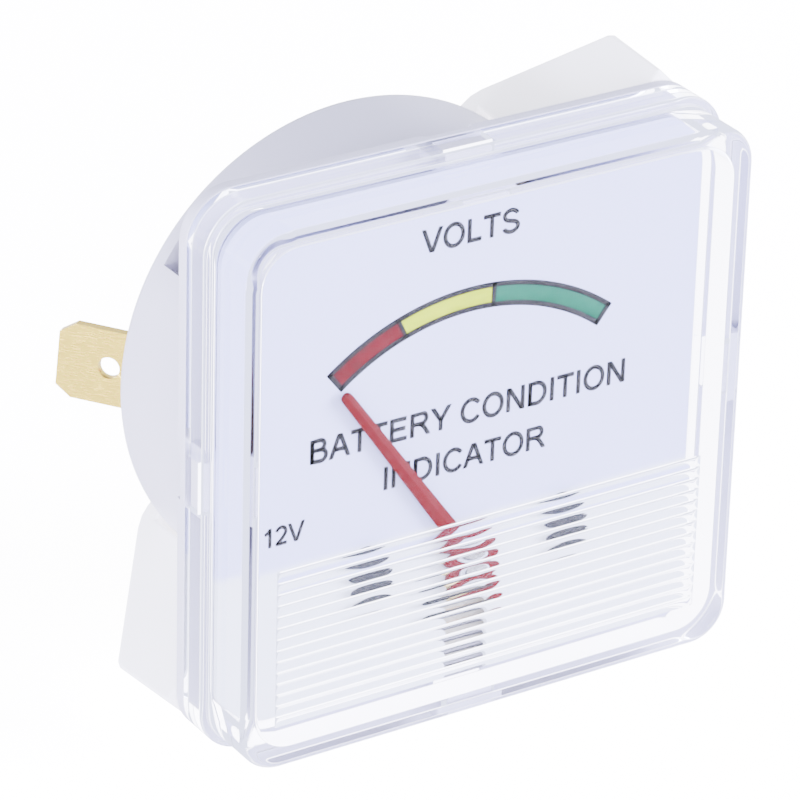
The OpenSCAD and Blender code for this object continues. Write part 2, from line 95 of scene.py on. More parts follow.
def noise(nodes, links, vector, scale, detail=4.0, rough=0.55):
    n = nodes.new("ShaderNodeTexNoise")
    n.inputs["Scale"].default_value = scale
    n.inputs["Detail"].default_value = detail
    n.inputs["Roughness"].default_value = rough
    links.new(vector, n.inputs["Vector"])
    return n.outputs["Fac"]


def remap(nodes, links, value, lo, hi, a=0.3, b=0.7):
    r = nodes.new("ShaderNodeMapRange")
    r.inputs["From Min"].default_value = a
    r.inputs["From Max"].default_value = b
    r.inputs["To Min"].default_value = lo
    r.inputs["To Max"].default_value = hi
    links.new(value, r.inputs["Value"])
    return r.outputs["Result"]


# places of a Mix node's colour sockets, which share their names with its other sockets
MIX_FACTOR, MIX_A, MIX_B, MIX_RESULT = 0, 6, 7, 2


def mixed(nodes, links, value, a, b):
    m = nodes.new("ShaderNodeMix")
    m.data_type = "RGBA"
    m.inputs[MIX_A].default_value = (*a, 1)
    m.inputs[MIX_B].default_value = (*b, 1)
    links.new(value, m.inputs[MIX_FACTOR])
    return m.outputs[MIX_RESULT]


def surface(name, color, rough=0.4, metal=0.0, tint=0.04, grain=900.0, bump=0.02, stretch=(1, 1, 1),
            soft=0.0, coat=0.0, tint_scale=150.0, wear=0.06, shine=0.5, glow=0.0):
    """Principled finish with procedural colour, roughness and height variation, in object coordinates."""
    m, nodes, links = new_material(name)
    out = nodes.new("ShaderNodeOutputMaterial")
    bsdf = nodes.new("ShaderNodeBsdfPrincipled")
    links.new(bsdf.outputs[0], out.inputs["Surface"])
    vec = coords(nodes, links, stretch)
    shade = remap(nodes, links, noise(nodes, links, vec, tint_scale, 5), 0, 1)
    dark = tuple(max(0.0, c * (1 - tint)) for c in color)
    light = tuple(min(1.0, c * (1 + tint)) for c in color)
    links.new(mixed(nodes, links, shade, dark, light), bsdf.inputs["Base Color"])
    fine = noise(nodes, links, vec, grain, 6)
    worn = remap(nodes, links, fine, max(0.02, rough - wear), min(1, rough + wear))
    links.new(worn, bsdf.inputs["Roughness"])
    b = nodes.new("ShaderNodeBump")
    b.inputs["Strength"].default_value = bump
    b.inputs["Distance"].default_value = 0.05 * MM
    links.new(fine, b.inputs["Height"])
    links.new(b.outputs[0], bsdf.inputs["Normal"])
    bsdf.inputs["Metallic"].default_value = metal
    bsdf.inputs["IOR"].default_value = 1.5
    bsdf.inputs["Specular IOR Level"].default_value = shine
    if soft:
        bsdf.inputs["Subsurface Weight"].default_value = soft
        bsdf.inputs["Subsurface Radius"].default_value = (1.0, 1.0, 1.0)
        bsdf.inputs["Subsurface Scale"].default_value = 0.9 * MM
    # glow paints light into the finish: an emission in its own colour, so the part shines though it is no
    # lamp
    if glow:
        bsdf.inputs["Emission Color"].default_value = (*color, 1)
        bsdf.inputs["Emission Strength"].default_value = glow
    if coat:
        bsdf.inputs["Coat Weight"].default_value = coat
        bsdf.inputs["Coat Roughness"].default_value = 0.12
    return m


def maths(nodes, links, operation, a, b):
    m = nodes.new("ShaderNodeMath")
    m.operation = operation
    for i, v in enumerate((a, b)):
        if isinstance(v, (int, float)):
            m.inputs[i].default_value = v
        else:
            links.new(v, m.inputs[i])
    return m.outputs[0]


def on_ribs(nodes, links):
    """1 on the lens ribs inside the pane, 0 on the rest of the cover."""
    place, split = nodes.new("ShaderNodeTexCoord"), nodes.new("ShaderNodeSeparateXYZ")
    links.new(place.outputs["Object"], split.inputs[0])
    inside = maths(nodes, links, "GREATER_THAN", split.outputs["Y"], (Y_PANE + 0.005) * MM)
    front = maths(nodes, links, "LESS_THAN", split.outputs["Y"], (Y_PANE + 0.25) * MM)
    low = maths(nodes, links, "LESS_THAN", split.outputs["Z"], RIB_TOP * MM)
    across = maths(nodes, links, "ABSOLUTE", split.outputs["X"], 0)
    span = maths(nodes, links, "LESS_THAN", across, RIB_HALF * MM)
    return maths(nodes, links, "MULTIPLY", maths(nodes, links, "MULTIPLY", inside, front),
                 maths(nodes, links, "MULTIPLY", low, span))


# how the ribs blur and veil, how sharply the surface mirrors at a slant, and the painted light (a pale
# emission) in which rays end deep in the plastic
RIB_BLUR, RIB_VEIL, SLANT_POWER = 0.04, 0.04, 1.8
DEEP_BOUNCES, DEEP_PAINTED_LIGHT = 2.5, (2.6, 2.75, 3.9)


def clear_plastic(name, tint=(0.975, 0.975, 0.995), ior=1.585, haze=0.02, through=(0.93, 0.935, 0.96)):
    """Clear polystyrene: refracts what the camera sees, lets the lamps' light through to the inside, and ends
    rays deep in the plastic in a painted pale emission.
    """
    m, nodes, links = new_material(name)
    out = nodes.new("ShaderNodeOutputMaterial")
    vec = coords(nodes, links)
    rough = remap(nodes, links, noise(nodes, links, vec, 260.0, 3), 0.0, haze, 0.4, 0.9)
    ribbed = on_ribs(nodes, links)
    rough = maths(nodes, links, "ADD", rough, maths(nodes, links, "MULTIPLY", ribbed, RIB_BLUR))
    b = nodes.new("ShaderNodeBump")
    b.inputs["Strength"].default_value = 0.006
    b.inputs["Distance"].default_value = 0.05 * MM
    links.new(noise(nodes, links, vec, 220.0, 2), b.inputs["Height"])
    bend, shine = nodes.new("ShaderNodeBsdfRefraction"), nodes.new("ShaderNodeBsdfGlossy")
    bend.inputs["IOR"].default_value = ior
    bend.inputs["Color"].default_value = (*tint, 1)
    shine.inputs["Color"].default_value = (1, 1, 1, 1)
    fresnel = nodes.new("ShaderNodeFresnel")
    fresnel.inputs["IOR"].default_value = ior
    for shader in (bend, shine):
        links.new(rough, shader.inputs["Roughness"])
        links.new(b.outputs[0], shader.inputs["Normal"])
    links.new(b.outputs[0], fresnel.inputs["Normal"])
    glass = nodes.new("ShaderNodeMixShader")
    links.new(maths(nodes, links, "POWER", fresnel.outputs[0], SLANT_POWER), glass.inputs[0])
    links.new(bend.outputs[0], glass.inputs[1])
    links.new(shine.outputs[0], glass.inputs[2])
    milk = nodes.new("ShaderNodeBsdfTranslucent")
    milk.inputs["Color"].default_value = (0.95, 0.98, 1, 1)
    veil = nodes.new("ShaderNodeMixShader")
    links.new(maths(nodes, links, "MULTIPLY", ribbed, RIB_VEIL), veil.inputs[0])
    links.new(glass.outputs[0], veil.inputs[1])
    links.new(milk.outputs[0], veil.inputs[2])
    clear = nodes.new("ShaderNodeBsdfTransparent")
    clear.inputs["Color"].default_value = (*through, 1)
    # painted light: after more than DEEP_BOUNCES glossy bounces a ray ends in this pale emission instead of
    # gathering real light
    glow = nodes.new("ShaderNodeEmission")
    glow.inputs["Color"].default_value = (*DEEP_PAINTED_LIGHT, 1)
    path = nodes.new("ShaderNodeLightPath")
    deep = maths(nodes, links, "GREATER_THAN", path.outputs["Glossy Depth"], DEEP_BOUNCES)
    either = maths(nodes, links, "MAXIMUM", path.outputs["Is Shadow Ray"], path.outputs["Is Diffuse Ray"])
    deep_painted_light_mix = nodes.new("ShaderNodeMixShader")
    links.new(deep, deep_painted_light_mix.inputs[0])
    links.new(veil.outputs[0], deep_painted_light_mix.inputs[1])
    links.new(glow.outputs[0], deep_painted_light_mix.inputs[2])
    mix = nodes.new("ShaderNodeMixShader")
    links.new(either, mix.inputs[0])
    links.new(deep_painted_light_mix.outputs[0], mix.inputs[1])
    links.new(clear.outputs[0], mix.inputs[2])
    links.new(mix.outputs[0], out.inputs["Surface"])
    return m


def dial_paint(name, upper, painted_light_color, edge=-7.9):
    """Matt white, with a painted highlight: the base colour turns whiter below edge, where the ribs gather
    the light.
    """
    m = surface(name, upper, 0.5, grain=2400, bump=0.03, tint=0.012, shine=0.3)
    nodes, links = m.node_tree.nodes, m.node_tree.links
    bsdf = next(n for n in nodes if n.type == "BSDF_PRINCIPLED")
    shade = bsdf.inputs["Base Color"].links[0].from_socket
    place, split = nodes.new("ShaderNodeTexCoord"), nodes.new("ShaderNodeSeparateXYZ")
    links.new(place.outputs["Object"], split.inputs[0])
    # painted highlight: blends towards the whiter colour below edge, for light the ribs gather onto the dial
    painted_light_mask = remap(nodes, links, split.outputs["Z"], 0, 1, (edge + 0.3) * MM, (edge - 0.5) * MM)
    mix = nodes.new("ShaderNodeMix")
    mix.data_type = "RGBA"
    links.new(painted_light_mask, mix.inputs[MIX_FACTOR])
    links.new(shade, mix.inputs[MIX_A])
    mix.inputs[MIX_B].default_value = (*painted_light_color, 1)
    links.new(mix.outputs[MIX_RESULT], bsdf.inputs["Base Color"])
    return m


def hatched(name, base, line):
    """Printed colour with fine uneven strokes that run up to the right."""
    m, nodes, links = new_material(name)
    out = nodes.new("ShaderNodeOutputMaterial")
    bsdf = nodes.new("ShaderNodeBsdfPrincipled")
    links.new(bsdf.outputs[0], out.inputs["Surface"])
    vec = coords(nodes, links, (0.16, 1, 1.3), (0, math.radians(24), 0))
    strokes = noise(nodes, links, vec, 5200.0, 3, 0.7)
    blot = noise(nodes, links, coords(nodes, links), 900.0, 2)
    add = nodes.new("ShaderNodeMath")
    add.operation = "MULTIPLY_ADD"
    add.inputs[1].default_value = 0.3
    links.new(blot, add.inputs[0])
    links.new(strokes, add.inputs[2])
    links.new(mixed(nodes, links, remap(nodes, links, add.outputs[0], 0, 1, 0.5, 0.82), base, line),
              bsdf.inputs["Base Color"])
    bsdf.inputs["Roughness"].default_value = 0.6
    bsdf.inputs["Specular IOR Level"].default_value = 0.04
    return m


MATERIALS = {
    "clear_polystyrene": clear_plastic("clear_polystyrene"),
    "white_abs": surface("white_abs", (0.72, 0.70, 0.80), 0.38, soft=0.25, grain=1500, bump=0.05, tint=0.012),
    # dial_white's second colour is a painted highlight, whiter over the lower part of the dial
    "dial_white": dial_paint("dial_white", (0.67, 0.69, 1.0), (0.97, 1.0, 1.0)),
    "black_steel": surface("black_steel", (0.013, 0.013, 0.014), 0.45, shine=0.15, grain=2500, bump=0.15,
                           tint=0.3),
    "pointer_red": surface("pointer_red", (0.125, 0.0011, 0.0038), 0.45, shine=0.06, grain=1200, bump=0.08,
                           tint=0.06),
    "light_nylon": surface("light_nylon", (0.72, 0.74, 0.80), 0.4, soft=0.2, tint=0.03),
    "dark_steel": surface("dark_steel", (0.16, 0.16, 0.17), 0.25, 1.0, tint=0.1, grain=3000),
    "balance_black": surface("balance_black", (0.014, 0.013, 0.013), 0.4, shine=0.15, tint=0.3, grain=2500,
                             bump=0.1),
    "soft_iron": surface("soft_iron", (0.33, 0.33, 0.34), 0.42, 1.0, tint=0.12, stretch=(1, 4, 1), bump=0.2),
    "bearing_brass": surface("bearing_brass", (0.72, 0.53, 0.24), 0.26, 1.0, tint=0.08, bump=0.12),
    "spring_bronze": surface("spring_bronze", (0.62, 0.36, 0.17), 0.3, 1.0, tint=0.06),
    "strip_brass": surface("strip_brass", (0.76, 0.60, 0.28), 0.3, 1.0, tint=0.08, stretch=(6, 1, 1),
                           bump=0.15),
    "grey_nylon": surface("grey_nylon", (0.88, 0.84, 0.88), 0.5, tint=0.03, grain=1800, bump=0.12),
    "bobbin_nylon": surface("bobbin_nylon", (0.74, 0.70, 0.58), 0.45, soft=0.2, tint=0.03),
    "enamelled_copper": surface("enamelled_copper", (0.46, 0.13, 0.05), 0.28, 0.6, tint=0.25, coat=0.6,
                                stretch=(1, 9, 1), grain=1600, bump=0.9, tint_scale=900),
    "tinned_wire": surface("tinned_wire", (0.72, 0.72, 0.71), 0.3, 1.0, tint=0.05),
    "resistor_tan": surface("resistor_tan", (0.62, 0.42, 0.22), 0.35, coat=0.5, tint=0.05),
    "diode_glass": surface("diode_glass", (0.70, 0.20, 0.06), 0.15, coat=0.8, tint=0.05),
    "wire_red": surface("wire_red", (0.50, 0.02, 0.02), 0.4, tint=0.05),
    "wire_black": surface("wire_black", (0.015, 0.015, 0.017), 0.4, tint=0.2),
    "terminal_brass": surface("terminal_brass", (0.84, 0.62, 0.10), 0.24, 1.0, tint=0.05, stretch=(1, 1, 7),
                              grain=1500, bump=0.3, wear=0.1),
    "plated_steel": surface("plated_steel", (0.66, 0.66, 0.67), 0.3, 1.0, tint=0.06, bump=0.15),
    # clamp_white's glow is painted light: a faint emission standing in for the light its translucent white
    # nylon lets through
    "clamp_white": surface("clamp_white", (0.95, 0.93, 0.96), 0.42, soft=0.4, glow=1.7, grain=1500,
                           bump=0.06, tint=0.012),
    "nut_brass": surface("nut_brass", (0.76, 0.58, 0.27), 0.25, 1.0, tint=0.07, bump=0.12),
    "ink": surface("ink", (0.022, 0.021, 0.022), 0.6, shine=0.04, grain=3000, bump=0.05, tint=0.12,
                   tint_scale=1200),
    "arc_red": hatched("arc_red", (0.07, 0.002, 0.004), (0.16, 0.012, 0.018)),
    "arc_yellow": hatched("arc_yellow", (0.44, 0.56, 0.001), (0.62, 0.74, 0.012)),
    "arc_green": hatched("arc_green", (0.0, 0.10, 0.05), (0.02, 0.16, 0.087)),
}


# ---------------------------------------------------------------- mesh tools

def mesh_object(name, verts, faces, material, angle=32.0):
    """verts are in millimetres in the row frame."""
    me = bpy.data.meshes.new(name)
    me.from_pydata([tuple(c * MM for c in v) for v in verts], [], faces)
    me.validate()
    ob = bpy.data.objects.new(name, me)
    scene.collection.objects.link(ob)
    tidy(ob, angle)
    ob.data.materials.append(MATERIALS[material])
    return ob


def tidy(ob, angle=32.0):
    bm = bmesh.new()
    bm.from_mesh(ob.data)
    bmesh.ops.remove_doubles(bm, verts=bm.verts, dist=1e-7)
    bmesh.ops.recalc_face_normals(bm, faces=bm.faces)
    bm.to_mesh(ob.data)
    bm.free()
    ob.data.shade_smooth()
    ob.data.set_sharp_from_angle(angle=math.radians(angle))
    ob.data.update()


def soften(ob, width, segments=3, angle=30.0, weld=False):
    """Rounds an object's edges with a modifier."""
    if weld:
        w = ob.modifiers.new("weld", "WELD")
        w.merge_threshold = 1e-6
    b = ob.modifiers.new("round", "BEVEL")
    b.width = width * MM
    b.segments = segments
    b.limit_method = "ANGLE"
    b.angle_limit = math.radians(angle)
    b.harden_normals = False
    even_normals(ob)


def even_normals(ob):
    n = ob.modifiers.new("normals", "WEIGHTED_NORMAL")
    n.keep_sharp = True
    n.weight = 90


def combine(ob, other, operation):
    """Applies a boolean with another object, which is then removed."""
    m = ob.modifiers.new("cut", "BOOLEAN")
    m.operation = operation
    m.solver = "EXACT"
    m.object = other
    bpy.context.view_layer.update()
    dg = bpy.context.evaluated_depsgraph_get()
    made = bpy.data.meshes.new_from_object(ob.evaluated_get(dg))
    ob.modifiers.clear()
    ob.data = made
    bpy.data.objects.remove(other)


def loft(rings, caps=True):
    """Closed rings of equal length joined in order, as (verts, faces)."""
    n = len(rings[0])
    verts = [p for ring in rings for p in ring]
    faces = []
    for i in range(len(rings) - 1):
        for j in range(n):
            a, b = i * n + j, i * n + (j + 1) % n
            faces.append((a, b, b + n, a + n))
    if caps:
        faces.append(tuple(range(n)))
        faces.append(tuple(range((len(rings) - 1) * n, len(rings) * n)))
    return verts, faces


def square_ring(half, radius, y, segments=12):
    """Rounded square around the depth axis."""
    ring = []
    c = half - radius
    for k, (sx, sz) in enumerate([(1, 1), (-1, 1), (-1, -1), (1, -1)]):
        for i in range(segments + 1):
            a = math.radians(90 * k + 90 * i / segments)
            ring.append((sx * c + radius * math.cos(a), y, sz * c + radius * math.sin(a)))
    return ring


def round_ring(radius, y, x=0.0, z=0.0, n=128):
    return [(x + radius * math.cos(2 * math.pi * i / n), y, z + radius * math.sin(2 * math.pi * i / n))
            for i in range(n)]


def turned(profile, x=0.0, z=0.0, n=128, hollow=False):
    """Body of revolution about the depth axis from (radius, y) pairs; a hollow one closes on itself."""
    rings = [round_ring(r, y, x, z, n) for r, y in profile]
    if hollow:
        return loft(rings + [rings[0]], caps=False)
    return loft(rings)


def quarter(r, start, segments=5):
    """Offsets of a quarter round of radius r: pairs that go from (0, 0) to (r, r)."""
    steps = [math.radians(90 * i / segments) for i in range(segments + 1)]
    if start == "flat":
        return [(r * math.sin(a), r * (1 - math.cos(a))) for a in steps]
    return [(r * (1 - math.cos(a)), r * math.sin(a)) for a in steps]


def box_mesh(x0, x1, y0, y1, z0, z1):
    verts = [(x, y, z) for x in (x0, x1) for y in (y0, y1) for z in (z0, z1)]
    faces = [(0, 1, 3, 2), (4, 6, 7, 5), (0, 4, 5, 1), (2, 3, 7, 6), (0, 2, 6, 4), (1, 5, 7, 3)]
    return verts, faces


def joined(*parts):
    verts, faces = [], []
    for v, f in parts:
        k = len(verts)
        verts += list(v)
        faces += [tuple(i + k for i in face) for face in f]
    return verts, faces


def spun(part, degrees):
    """Turns a (verts, faces) pair about the depth axis; positive takes up towards the right."""
    a = math.radians(degrees)
    c, s = math.cos(a), math.sin(a)
    return [(x * c + z * s, y, -x * s + z * c) for x, y, z in part[0]], part[1]


def moved(part, dx=0.0, dz=0.0):
    return [(x + dx, y, z + dz) for x, y, z in part[0]], part[1]


def place(ob, body, slot, node=None):
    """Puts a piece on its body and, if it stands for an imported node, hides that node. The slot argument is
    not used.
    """
    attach(ob, body)
    if node:
        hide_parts(node)


# ---------------------------------------------------------------- clear front cover

def cover_shell():
    rings = []
    e = 0.85
    for out, back in quarter(e, "flat", 8):
        rings.append(square_ring(HALF - e + out, CORNER - e + out, Y_FRONT + back))
    foot = 0.22
    for out, back in quarter(foot, "side", 4):
        rings.append(square_ring(HALF + out, CORNER + out, Y_STEP - foot + back))
    e = 0.28
    for out, back in quarter(e, "flat", 4):
        rings.append(square_ring(SKIRT - e + out, SKIRT_CORNER - e + out, Y_STEP + back))
    e = 0.12
    for out, back in quarter(e, "flat", 3)[::-1]:
        rings.append(square_ring(SKIRT - e + out, SKIRT_CORNER - e + out, Y_FLANGE - LAP - back))
    e = 0.1
    for out, back in quarter(e, "flat", 2):
        rings.append(square_ring(SKIRT_IN + e - out, SKIRT_IN_CORNER, Y_FLANGE - LAP - back))
    e = 0.15
    for out, back in quarter(e, "side", 3):
        rings.append(square_ring(SKIRT_IN - out, SKIRT_IN_CORNER - out, Y_INNER_STEP + e - back))
    for out, back in quarter(e, "flat", 3):
        rings.append(square_ring(WINDOW_IN + e - out, WINDOW_IN_CORNER + e - out, Y_INNER_STEP - back))
    e = 0.22
    for out, back in quarter(e, "side", 5):
        rings.append(square_ring(WINDOW_IN - out, WINDOW_IN_CORNER - out, Y_PANE + e - back))
    return loft(rings)


def rib_block():
    """Convex cylindrical ribs, with ends that curve down to the pane."""
    r = (PITCH ** 2 / 4 + RISE ** 2) / (2 * RISE)
    per = 14
    line = []
    for i in range(RIBS):
        for k in range(per + (i == RIBS - 1)):
            t = -PITCH / 2 + PITCH * k / per
            line.append((Y_PANE + RISE - r + math.sqrt(r * r - t * t), RIB_TOP - (i + 0.5) * PITCH - t))
    sunk, rounding, steps = 0.12, 0.45, 7
    base = Y_PANE - sunk
    rings, xs = [], []
    for k in range(steps + 1):
        a = math.radians(90 * k / steps)
        xs.append((-RIB_HALF + rounding * (1 - math.cos(a)), math.sin(a)))
    xs += [(-x, h) for x, h in xs[::-1]]
    for x, h in xs:
        ring = [(x, Y_PANE + (y - Y_PANE) * h if y > Y_PANE else y, z) for y, z in line]
        ring += [(x, base, line[-1][1]), (x, base, line[0][1])]
        rings.append(ring)
    return loft(rings)


cover = mesh_object("front_cover_clear", *cover_shell(), "clear_polystyrene")
for turn in (0, 90, 180, 270):
    snap = box_mesh(-WINDOW_HALF, WINDOW_HALF, *WINDOW_Y, SKIRT_IN - 0.8, SKIRT + 0.8)
    hole = mesh_object("hole", *spun(snap, turn), "clear_polystyrene")
    combine(cover, hole, "DIFFERENCE")
ribs = mesh_object("ribs", *rib_block(), "clear_polystyrene")
combine(cover, ribs, "UNION")
tidy(cover, 34)
even_normals(cover)
place(cover, "case", "clear_polystyrene", "front_cover")


# ---------------------------------------------------------------- white case

def case_flange():
    rings = []
    e = 0.16
    for out, back in quarter(e, "flat", 3):
        rings.append(square_ring(SKIRT - e + out, SKIRT_CORNER - e + out, Y_FLANGE + back))
    for out, back in quarter(e, "flat", 3)[::-1]:
        rings.append(square_ring(SKIRT - e + out, SKIRT_CORNER - e + out, -back))
    return loft(rings)


def case_barrel():
    foot, edge, corner, axis = 0.3, 1.5, 0.5, 0.02
    y_inside = Y_REAR - REAR_WALL
    profile = [(BARREL_IN, Y_FLANGE - LAP), (BARREL + foot, Y_FLANGE - LAP), (BARREL + foot, 0.0)]
    profile += [(BARREL + foot - out, back) for out, back in quarter(foot, "flat", 4)]
    profile += [(BARREL - out, Y_REAR - edge + back) for out, back in quarter(edge, "side", 9)]
    profile += [(8.0, Y_REAR), (axis, Y_REAR), (axis, y_inside)]
    profile += [(BARREL_IN - corner, y_inside), (BARREL_IN, y_inside - corner)]
    return turned(profile, n=160, hollow=True)


def tongue():
    body = box_mesh(-TONGUE_HALF, TONGUE_HALF, *TONGUE_Y, TONGUE_IN, TONGUE_OUT)
    barb = box_mesh(-BARB_HALF, BARB_HALF, *BARB_Y, TONGUE_IN, BARB_OUT)
    return joined(body, barb)


case = mesh_object("case_flange", *case_flange(), "white_abs")
bore = mesh_object("bore", *turned([(BARREL_IN, -3), (BARREL_IN, 3)], n=160), "white_abs")
combine(case, bore, "DIFFERENCE")
for turn in (0, 90, 180, 270):
    pry = box_mesh(-BARB_HALF, BARB_HALF, -0.5, 1.0, SKIRT - 0.7, SKIRT + 0.8)
    notch = mesh_object("notch", *spun(pry, turn), "white_abs")
    combine(case, notch, "DIFFERENCE")
tidy(case, 30)
even_normals(case)
place(case, "case", "white_abs", "case_body")

barrel = mesh_object("case_barrel", *case_barrel(), "white_abs")
for turn in (-53, 127):
    vent = box_mesh(-VENT_HALF, VENT_HALF, *VENT_Y, BARREL_IN - 1.1, BARREL + 1.4)
    slot = mesh_object("slot", *spun(vent, turn), "white_abs")
    combine(barrel, slot, "DIFFERENCE")
for turn in (0, 180):
    cut = box_mesh(-SLIT_W / 2, SLIT_W / 2, Y_REAR - 3.35, Y_REAR + 1.65, -SLIT_LEN / 2, SLIT_LEN / 2)
    slit = spun(moved(spun(cut, BLADE_LEAN), dx=BLADE_X), turn)
    combine(barrel, mesh_object("slit", *slit, "white_abs"), "DIFFERENCE")
tidy(barrel, 34)
even_normals(barrel)
place(barrel, "case", "white_abs", "case_body")

parts = [spun(tongue(), t) for t in (0, 90, 180, 270)]
tongues = mesh_object("case_tongues", *joined(*parts), "white_abs")
soften(tongues, 0.12, 2)
place(tongues, "case", "white_abs", "case_body")

collar = [(BOSS_R, BOSS_ROOT), (BOSS_R, BOSS_Y + 0.2), (BOSS_R - 0.2, BOSS_Y), (BOSS_BORE, BOSS_Y),
          (BOSS_BORE, BOSS_ROOT)]
post = [(POST_R, BOSS_ROOT), (POST_R, BOSS_Y - 0.05), (POST_R - 0.15, BOSS_Y - 0.2)]
inner_parts = [turned(collar, n=64, hollow=True)]
for a in (90, 215, 325):
    x, z = POST_AT * math.cos(math.radians(a)), POST_AT * math.sin(math.radians(a))
    inner_parts.append(turned(post, x, z, 40))
bosses = mesh_object("case_bosses", *joined(*inner_parts), "white_abs")
place(bosses, "case", "white_abs", "case_body")


# ---------------------------------------------------------------- dial print

def ribbon(points, width, closed=False):
    """Flat band of constant width along (x, z) points, with mitred bends."""
    n = len(points)
    left, right = [], []
    for i, p in enumerate(points):
        before = points[i - 1] if (i or closed) else None
        after = points[(i + 1) % n] if (i < n - 1 or closed) else None
        dirs = []
        for a, b in ((before, p), (p, after)):
            if a is not None and b is not None:
                d = Vector((b[0] - a[0], b[1] - a[1]))
                dirs.append(d.normalized())
        t = sum(dirs, Vector((0, 0))).normalized()
        nrm = Vector((-t.y, t.x))
        if len(dirs) == 2:
            side = Vector((-dirs[0].y, dirs[0].x))
            k = width / 2 / max(0.5, nrm.dot(side))
        else:
            k = width / 2
        left.append((p[0] + nrm.x * k, p[1] + nrm.y * k))
        right.append((p[0] - nrm.x * k, p[1] - nrm.y * k))
    verts = [v for pair in zip(left, right) for v in pair]
    faces = []
    for i in range(n if closed else n - 1):
        a, b = 2 * i, 2 * ((i + 1) % n)
        faces.append((a, a + 1, b + 1, b))
    return verts, faces


def bow(cx, cz, rx, rz, a0, a1, n=22):
    return [(cx + rx * math.cos(math.radians(a0 + (a1 - a0) * i / n)),
             cz + rz * math.sin(math.radians(a0 + (a1 - a0) * i / n))) for i in range(n + 1)]


W = 0.18
H = W / 2
# letter: (advance, strokes, cut at the top and bottom lines); unit: the height of a capital
LETTERS = {
    " ": (0.388, [], False),
    "I": (0.388, [[(0.196, 0), (0.196, 1)]], False),
    "L": (0.777, [[(0.168, 1), (0.168, H), (0.728, H)]], False),
    "T": (0.853, [[(0.033, 1 - H), (0.825, 1 - H)], [(0.427, 1 - H), (0.427, 0)]], False),
    "E": (0.932, [[(0.83, 1 - H), (0.175, 1 - H), (0.175, H), (0.86, H)],
                  [(0.2, 0.515), (0.79, 0.515)]], False),
    "B": (0.932, [[(0.166, H), (0.166, 1 - H)] + bow(0.5, 0.735, 0.215, 0.2, 90, -90) + [(0.2, 0.535)],
                  [(0.48, 0.535)] + bow(0.53, 0.3, 0.26, 0.235, 90, -90) + [(0.1, H)],
                  [(0.166, 0), (0.166, 1)]], False),
    "R": (1.009, [[(0.17, 0), (0.17, 1 - H)] + bow(0.6, 0.72, 0.21, 0.215, 90, -90) + [(0.2, 0.505)],
                  [(0.5, 0.5), (0.64, 0.43), (0.78, 0.24), (0.93, -0.03)]], True),
    "O": (1.087, [bow(0.545, 0.5, 0.41, 0.452, 0, 360, 48)], False),
    "C": (1.009, [bow(0.545, 0.5, 0.41, 0.452, 35, 325, 44)], False),
    "D": (1.009, [[(0.172, H)] + [(0.172, 1 - H)] + bow(0.46, 0.5, 0.41, 0.434, 90, -90, 30) + [(0.1, H)],
                  [(0.172, 0), (0.172, 1)]], False),
    "N": (1.009, [[(0.172, 0), (0.172, 1)], [(0.839, 0), (0.839, 1)], [(0.158, 1.03), (0.853, -0.03)]], True),
    "A": (0.932, [[(0.051, -0.05), (0.471, 1.05)], [(0.881, -0.05), (0.462, 1.05)],
                  [(0.2, 0.357), (0.74, 0.357)]], True),
    "V": (0.932, [[(0.051, 1.05), (0.471, -0.05)], [(0.881, 1.05), (0.462, -0.05)]], True),
    "Y": (0.932, [[(0.05, 1.05), (0.466, 0.42)], [(0.882, 1.05), (0.466, 0.42)], [(0.466, 0.5), (0.466, 0)]],
          True),
    "S": (0.932, [bow(0.462, 0.73, 0.3, 0.222, 12, 238, 26) + bow(0.47, 0.27, 0.325, 0.222, 62, -168, 30)],
          False),
    "1": (0.777, [[(0.5, 0), (0.5, 1)], [(0.5, 0.93), (0.38, 0.8), (0.2, 0.71)]], False),
    "2": (0.777, [bow(0.375, 0.7, 0.262, 0.24, 172, -32, 24) + [(0.44, 0.36), (0.13, 0.1)],
                  [(0.06, H), (0.7, H)]], False),
}


def cut_band(verts, faces, lo, hi):
    """Cuts a flat (x, z) mesh at two heights."""
    bm = bmesh.new()
    vs = [bm.verts.new((x, 0, z)) for x, z in verts]
    for f in faces:
        bm.faces.new([vs[i] for i in f])
    for z, n in ((lo, -1), (hi, 1)):
        geom = list(bm.verts) + list(bm.edges) + list(bm.faces)
        bmesh.ops.bisect_plane(bm, geom=geom, plane_co=(0, 0, z), plane_no=(0, 0, n), clear_outer=True)
    bm.verts.index_update()
    out = [(v.co.x, v.co.z) for v in bm.verts], [tuple(v.index for v in f.verts) for f in bm.faces]
    bm.free()
    return out


def legend(text, left, right, base, cap, y):
    """Flat lettering between two sides, drawn with bands of constant width."""
    flat, pen = [], 0.0
    for ch in text:
        advance, strokes, cut = LETTERS[ch]
        for s in strokes:
            closed = len(s) > 8 and math.dist(s[0], s[-1]) < 1e-6
            part = ribbon(s[:-1] if closed else s, W, closed)
            if cut:
                part = cut_band(*part, 0.0, 1.0)
            flat.append(([(x + pen, z) for x, z in part[0]], part[1]))
        pen += advance
    xs = [x for v, f in flat for x, z in v]
    lo, k = min(xs), (right - left) / (max(xs) - min(xs))
    return joined(*[([(left + (x - lo) * k, y, base + z * cap) for x, z in v], f) for v, f in flat])


def printed(name, part, material, thickness=0.012):
    """A printed layer: flat outlines given a little thickness towards the front."""
    ob = mesh_object(name, *part, material)
    s = ob.modifiers.new("ink", "SOLIDIFY")
    s.thickness = thickness * MM
    s.offset = 0
    place(ob, "case", "dial_white")


INK = Y_DIAL - 0.02
for tag, text, left, right, base, cap in (
    ("volts", "VOLTS", -4.8, 4.05, 15.72, 2.0),
    ("condition", "BATTERY CONDITION", -14.25, 14.5, 0.35, 2.05),
    ("indicator", "INDICATOR", -7.6, 7.25, -3.55, 2.0),
    ("twelve", "12V", -18.2, -14.6, -5.85, 1.65),
):
    printed("print_" + tag, legend(text, left, right, base, cap, INK), "ink")

